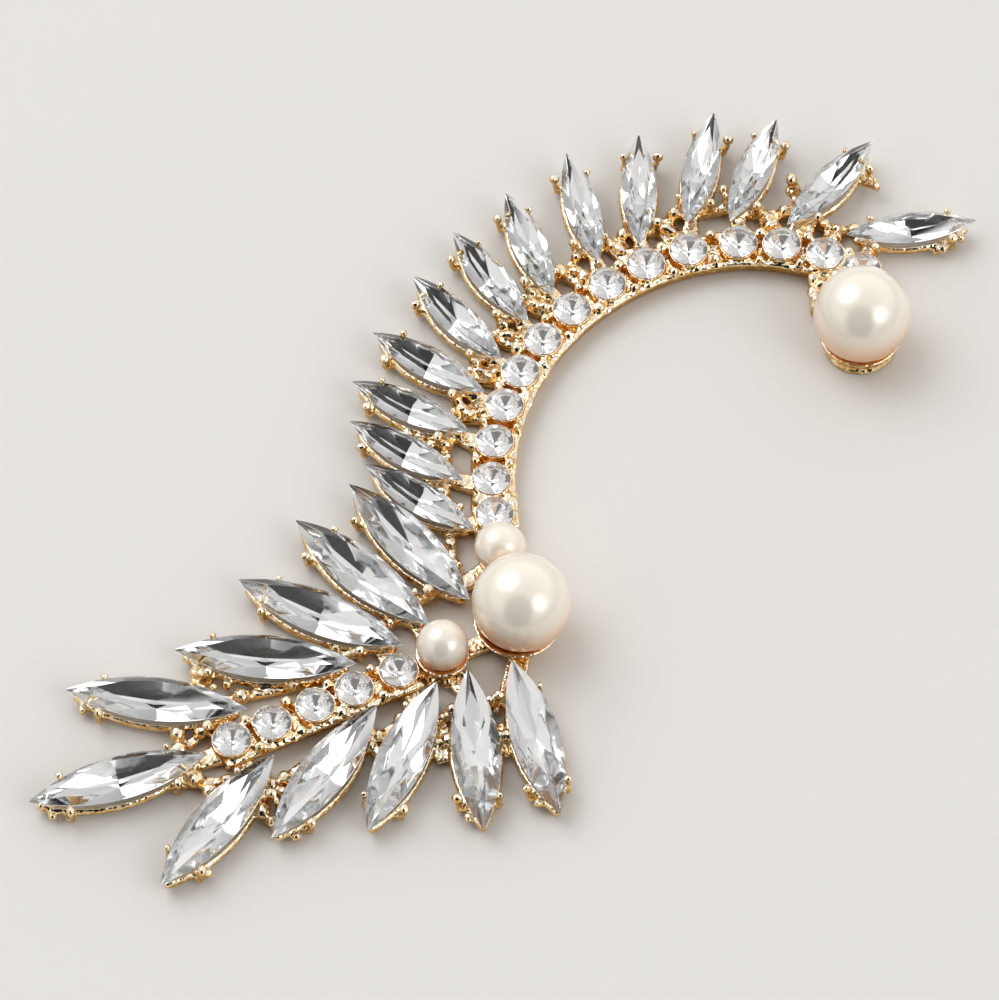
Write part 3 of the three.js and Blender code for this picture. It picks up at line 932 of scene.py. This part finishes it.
def offset_path(path, offset, height):
    """A path moved sideways, to the left of its run, at one height."""
    tangent = np.gradient(path, axis=0)
    tangent /= np.linalg.norm(tangent[:, :2], axis=1, keepdims=True)
    moved = path + offset * points_of(-tangent[:, 1], tangent[:, 0], 0.0)
    moved[:, 2] = height
    return moved


def crystal_row(middles, ledge_side, half_width, chance):
    """Strip under a row of round crystals, a wall and a ledge along one side of it, a web
    whose width goes in and out like a sine along the other, and lumps of metal between each
    two crystals on both sides."""
    line = np.array(middles)
    before = line[:1] * (1 + ROW_OVERHANG) - line[1:2] * ROW_OVERHANG
    after = line[-1:] * (1 + ROW_OVERHANG) - line[-2:-1] * ROW_OVERHANG
    path = smooth_path(np.concatenate([before, line, after]))
    scallop = 0.4 + 0.15 * np.sin(np.arange(len(path)) * 2 * np.pi / SCALLOP_POINTS)

    def rod(offset, wide, tall, flat, height=None):
        """Bar along the row. It stands on the floor unless its height is given."""
        beside = offset_path(path, ledge_side * offset, height or tall)
        return swept(beside, wide, tall, flat=flat)

    shells = [
        rod(0, half_width, 0.42, flat=5),
        rod(-half_width, scallop, 0.65, flat=4),
        rod(LEDGE_OFFSET, 0.3, 0.27, flat=3, height=LEDGE_HEIGHT),
        rod(half_width + 0.1, 0.25, 0.75, flat=4),
    ]
    for a, b in zip(line[:-1], line[1:]):
        across = unit(np.cross((0, 0, 1), b - a))
        for side in (-1, 1):
            spot = (a + b) / 2 + side * across * chance.uniform(1.15, 1.45)
            spot[2] = chance.uniform(1.6, 1.85)
            foot = spot * (1, 1, 0) + (0, 0, POST_FOOT)
            radius = chance.uniform(0.42, 0.55)
            shells += lump_on_post(foot, spot, radius, across, chance, steps=3)
        for share in chance.uniform(-0.3, 0.3, 2):
            spot = (a + b) / 2 + share * (b - a) + ledge_side * across * LEDGE_OFFSET
            spot[2] = LEDGE_HEIGHT + 0.1
            shells.append(lump(spot, chance.uniform(0.3, 0.4), chance))
    return shells


def collet(middle, radius, girdle):
    """Bezel round a crystal: a turned cup whose inner wall follows the crystal's pavilion. Its
    profile runs from the floor up its outside, over its rim and down its inside."""
    profile = [
        (0, 0.0),
        (radius * 0.9, 0.0),
        (radius + 0.05, girdle - 0.5),
        (radius + 0.17, girdle - 0.08),
        (radius + 0.03, girdle - 0.08),
        (radius * 0.6, girdle - 0.95),
        (0, girdle - 1.5),
    ]
    return turned(middle, profile, columns=32)


def pearl_cup(cup):
    """Saucer under a pearl: a turned profile from the floor up its outside, over a rounded lip
    and down its inside, a circle a little larger than the pearl's and round the same middle."""
    middle, radius = node_middle(cup.pearl), node_radius(cup.pearl)
    height = np.linspace(cup.lip_height, middle[2] - radius + PEARL_FLOOR_GAP, 6)
    inside = np.sqrt(np.maximum((radius + PEARL_GAP) ** 2 - (middle[2] - height) ** 2, 0))
    inside[-1] = 0
    profile = [
        (0, 0.0),
        (cup.flange, 0.0),
        (cup.flange + 0.12, 0.3),
        (cup.lip_radius * 0.8, 0.65),
        (cup.lip_radius, cup.lip_height),
        (cup.lip_radius - cup.wall * 0.5, cup.lip_height + 0.12),
        (cup.lip_radius - cup.wall, cup.lip_height),
        *zip(np.minimum(inside, cup.lip_radius - cup.wall), height),
    ]
    return turned(middle + (*cup.aside, 0), profile)


def add_casting(name, shells, settings):
    """Joins shells into one casting: they are remeshed as one skin, and its creases rounded."""
    gold = kept_material(gold_plating, settings.plating, settings.edge, settings.painted_shade)
    piece = add_piece(name, shells, [gold], ["frame"])
    solder = piece.modifiers.new("solder", "REMESH")
    solder.mode = "VOXEL"
    solder.voxel_size = settings.grain
    solder.use_smooth_shade = True
    soften = piece.modifiers.new("soften", "SMOOTH")
    soften.factor = 0.5
    soften.iterations = 2


class EARCLIMBER_OT_arc_setting(bpy.types.Operator):
    """Make the castings under the arc: the row's strip and collets, and the rails and claws"""

    bl_idname = "earclimber.arc_setting"
    bl_label = "Arc setting"

    def execute(self, context):
        settings = context.scene.ear_climber_metal
        chance = np.random.default_rng(11)  # castings differ a little from claw to claw
        middles = [node_middle(name) for name in ARC_CRYSTALS]
        hearts = middles + [node_middle(name) for name in ("join_pearl", "arc_pearl")]
        row = crystal_row(middles, -1, 1.3, chance)
        row += [collet(*round_seat(name)[:3]) for name in ARC_CRYSTALS]
        shells = []
        for name in SMALL_MARQUISES:
            shells += marquise_setting(name, settings, chance)
            shells.append(strut(SEATS[name], hearts))
            if name in WEBBED:
                shells += web(SEATS[name], SEATS[NEXT[name]], hearts, chance)
        add_casting("arc_row", row, settings)
        add_casting("arc_setting", shells, settings)
        return {"FINISHED"}


class EARCLIMBER_OT_wing_setting(bpy.types.Operator):
    """Make the casting under the wing: its rib, collets, rails and claws"""

    bl_idname = "earclimber.wing_setting"
    bl_label = "Wing setting"

    def execute(self, context):
        settings = context.scene.ear_climber_metal
        chance = np.random.default_rng(12)
        middles = [node_middle(name) for name in WING_CRYSTALS]
        pearls = [node_middle(name) for name in ("wing_pearl", "join_pearl", "arc_pearl")]
        shells = crystal_row(middles, 1, 1.2, chance)
        shells += [collet(*round_seat(name)[:3]) for name in WING_CRYSTALS]
        for name in LARGE_MARQUISES:
            shells += marquise_setting(name, settings, chance)
            shells.append(strut(SEATS[name], middles + pearls))
        add_casting("wing_setting", shells, settings)
        return {"FINISHED"}


class EARCLIMBER_OT_pearl_cups(bpy.types.Operator):
    """Make the casting that holds the pearls: four cups and the bars between them"""

    bl_idname = "earclimber.pearl_cups"
    bl_label = "Pearl cups"

    def execute(self, context):
        settings = context.scene.ear_climber_metal
        chance = np.random.default_rng(13)
        end, join, arc, wing = (node_middle(name) for name in PEARLS)
        arc_start, arc_end = (node_middle(ARC_CRYSTALS[i]) for i in (0, -1))
        wing_start = node_middle(WING_CRYSTALS[0])
        shells = [pearl_cup(cup) for cup in CUPS]
        runs = [(arc_start, arc), (arc, join), (join, wing), (arc_end, end), (wing, wing_start)]
        for start, stop in runs:
            shells.append(plate(start, stop, RUN_HALF_WIDTH, RUN_HALF_HEIGHT, flat=5))

        # A rough wall joins the arc's end to the last cup, on the side of the ear.
        start, stop = end + WALL_ENDS
        shells.append(plate(start, stop, WALL_HALF_WIDTHS, WALL_HALF_HEIGHT, flat=4))
        for spot in straight(start, stop)[:-1] * (1, 1, 0):
            stray = (chance.uniform(-0.4, 0.4), 0, WALL_LUMPS)
            shells.append(lump(spot + stray, SOLDER_RADIUS, chance))

        # A bar hangs from the join's cup between the last two marquises of the wing.
        last = SEATS[LARGE_MARQUISES[-1]]
        path = straight(join, edge_point(last, -0.5, -1, 0.8, HANGER_HEIGHT))
        path[:, 2] = HANGER_HEIGHT
        shells.append(swept(path, 0.3, 0.4, flat=3))

        # Solder beads stand under the wing's pearl.
        for turn in np.radians(BEAD_TURNS):
            around = np.array([math.cos(turn), math.sin(turn), 0]) * BEAD_DISTANCE
            spot = wing * (1, 1, 0) + around + (0, 0, BEAD_HEIGHT)
            shells.append(lump(spot, SOLDER_RADIUS, chance))
        add_casting("pearl_cups", shells, settings)
        return {"FINISHED"}


# ---- Stage ----

# Lengths of the stage are in metres, apart from the lens and sensor in millimetres.
FLOOR_HALF = 1.5
VIEW_MIDDLE = (-1.135 * MM, 0.299 * MM, 0.0)
FOCAL_LENGTH = 265.8
SENSOR_WIDTH = 36
SKY_HORIZON = 0.3  # the sky's brightness at and below the horizon
SKY_TOP = 0.65
SKY_BETWEEN = ((0.3, 0.95), (0.55, 1.0))  # brightness at sines of the height above the horizon
STUDIO_TINT = (1.0, 0.98, 0.96, 1)
DARK_TURN = -171  # degrees: the dark side of the studio, a patch that runs between two heights
DARK_HEIGHTS = (33, 43)
DARK_EDGE = (0.81, 0.87)  # cosines of the angle from its middle at its soft edge's two sides
DARK_SHARE = 0.02  # what is left of the sky's brightness there
SOFTBOX_DISTANCE = 0.8
Softbox = namedtuple("Softbox", "name turn height size brightness")
SOFTBOXES = [
    Softbox("left_softbox", -52, 54, 0.64, 2.0),
    Softbox("right_softbox", 122, 38, 0.5, 1.8),
]


def studio_direction(turn, height):
    """Direction from the object, by its turn clockwise from the back and its height, in degrees."""
    turn, height = math.radians(turn), math.radians(height)
    return np.array(
        [math.sin(turn) * math.cos(height), math.cos(turn) * math.cos(height), math.sin(height)]
    )


def add_softbox(box):
    """A round softbox that faces the object. Its power is its brightness times pi times the
    area of its face."""
    light = bpy.data.lights.new(box.name, "AREA")
    light.shape = "DISK"
    light.size = box.size
    light.energy = box.brightness * math.pi**2 * box.size**2 / 4
    lamp = new_object(box.name, light)
    towards = studio_direction(box.turn, box.height)
    lamp.location = Vector(towards) * SOFTBOX_DISTANCE
    lamp.rotation_euler = Vector(towards).to_track_quat("Z", "Y").to_euler()
    lamp.visible_camera = False


def add_floor(colour):
    """One square of painted board."""
    half = FLOOR_HALF
    corners = [(-half, -half, 0), (half, -half, 0), (half, half, 0), (-half, half, 0)]
    mesh = bpy.data.meshes.new("floor")
    mesh.from_pydata(corners, [], [(0, 1, 2, 3)])
    mesh.materials.append(kept_material(floor_board, colour))
    new_object("floor", mesh)


def add_studio():
    """The studio that the stones and the metal mirror: a pale sky, brightest half way up, with
    one dark side. How near a direction is to that side is the larger of its dot products with
    the directions of the dark patch's two ends."""
    world = bpy.data.worlds.new("studio")
    world.use_nodes = True
    tree = world.node_tree
    tree.nodes.clear()
    direction = add_node(tree, "TexCoord").outputs["Generated"]
    height = add_node(tree, "SeparateXYZ", {0: direction}).outputs["Z"]
    between = [(place, (brightness,) * 3) for place, brightness in SKY_BETWEEN]
    sky = ramp(tree, height, (SKY_HORIZON,) * 3, (SKY_TOP,) * 3, between)
    ends = [
        add_node(
            tree,
            "VectorMath",
            {0: direction, 1: tuple(studio_direction(DARK_TURN, degrees))},
            operation="DOT_PRODUCT",
        ).outputs["Value"]
        for degrees in DARK_HEIGHTS
    ]
    nearness = math_node(tree, "MAXIMUM", *ends)
    dark = mapped(tree, nearness, (1.0, DARK_SHARE), DARK_EDGE, "SMOOTHSTEP")
    strength = math_node(tree, "MULTIPLY", sky, dark)
    background = add_node(tree, "Background", {"Color": STUDIO_TINT, "Strength": strength})
    add_node(tree, "OutputWorld", {"Surface": background.outputs["Background"]})
    bpy.context.scene.world = world


def add_camera(elevation, distance):
    """The camera looks down at the middle of its view from the front."""
    data = bpy.data.cameras.new("camera")
    data.lens = FOCAL_LENGTH
    data.sensor_width = SENSOR_WIDTH
    camera = new_object("camera", data)
    back = Vector((0, -math.cos(elevation), math.sin(elevation)))
    camera.location = Vector(VIEW_MIDDLE) + back * distance
    camera.rotation_euler = back.to_track_quat("Z", "Y").to_euler()
    bpy.context.scene.camera = camera


class EARCLIMBER_OT_stage(bpy.types.Operator):
    """Make the floor, the lights and the camera"""

    bl_idname = "earclimber.stage"
    bl_label = "Stage"

    def execute(self, context):
        settings = context.scene.ear_climber_stage
        add_floor(settings.floor)
        add_studio()
        for box in SOFTBOXES:
            add_softbox(box)
        add_camera(settings.elevation, settings.distance)
        context.scene.cycles.max_bounces = 32  # light turns many times inside a foiled stone
        context.scene.cycles.glossy_bounces = 24
        context.scene.cycles.transmission_bounces = 24
        context.scene.view_settings.view_transform = "Standard"
        return {"FINISHED"}


# ---- Panel and registration ----

SETTINGS = {
    "ear_climber_crystals": EarClimberCrystals,
    "ear_climber_pearls": EarClimberPearls,
    "ear_climber_metal": EarClimberMetal,
    "ear_climber_stage": EarClimberStage,
}
OPERATORS = [
    EARCLIMBER_OT_marquises,
    EARCLIMBER_OT_round_crystals,
    EARCLIMBER_OT_pearls,
    EARCLIMBER_OT_arc_setting,
    EARCLIMBER_OT_wing_setting,
    EARCLIMBER_OT_pearl_cups,
    EARCLIMBER_OT_stage,
]


class EARCLIMBER_PT_panel(bpy.types.Panel):
    """Sizes, colours and operators of the ear climber"""

    bl_label = "Ear climber"
    bl_space_type = "VIEW_3D"
    bl_region_type = "UI"
    bl_category = "Ear climber"

    def draw(self, context):
        for group, kind in SETTINGS.items():
            box = self.layout.box()
            for name in kind.__annotations__:
                box.prop(getattr(context.scene, group), name)
        for operator in OPERATORS:
            self.layout.operator(operator.bl_idname)


def register():
    for kind in [*SETTINGS.values(), *OPERATORS, EARCLIMBER_PT_panel]:
        bpy.utils.register_class(kind)
    for group, kind in SETTINGS.items():
        setattr(bpy.types.Scene, group, PointerProperty(type=kind))


def unregister():
    for group in SETTINGS:
        delattr(bpy.types.Scene, group)
    for kind in [EARCLIMBER_PT_panel, *OPERATORS, *SETTINGS.values()]:
        bpy.utils.unregister_class(kind)


def main():
    register()
    for operator in OPERATORS:
        group, name = operator.bl_idname.split(".")
        getattr(getattr(bpy.ops, group), name)()


if __name__ == "__main__":
    main()
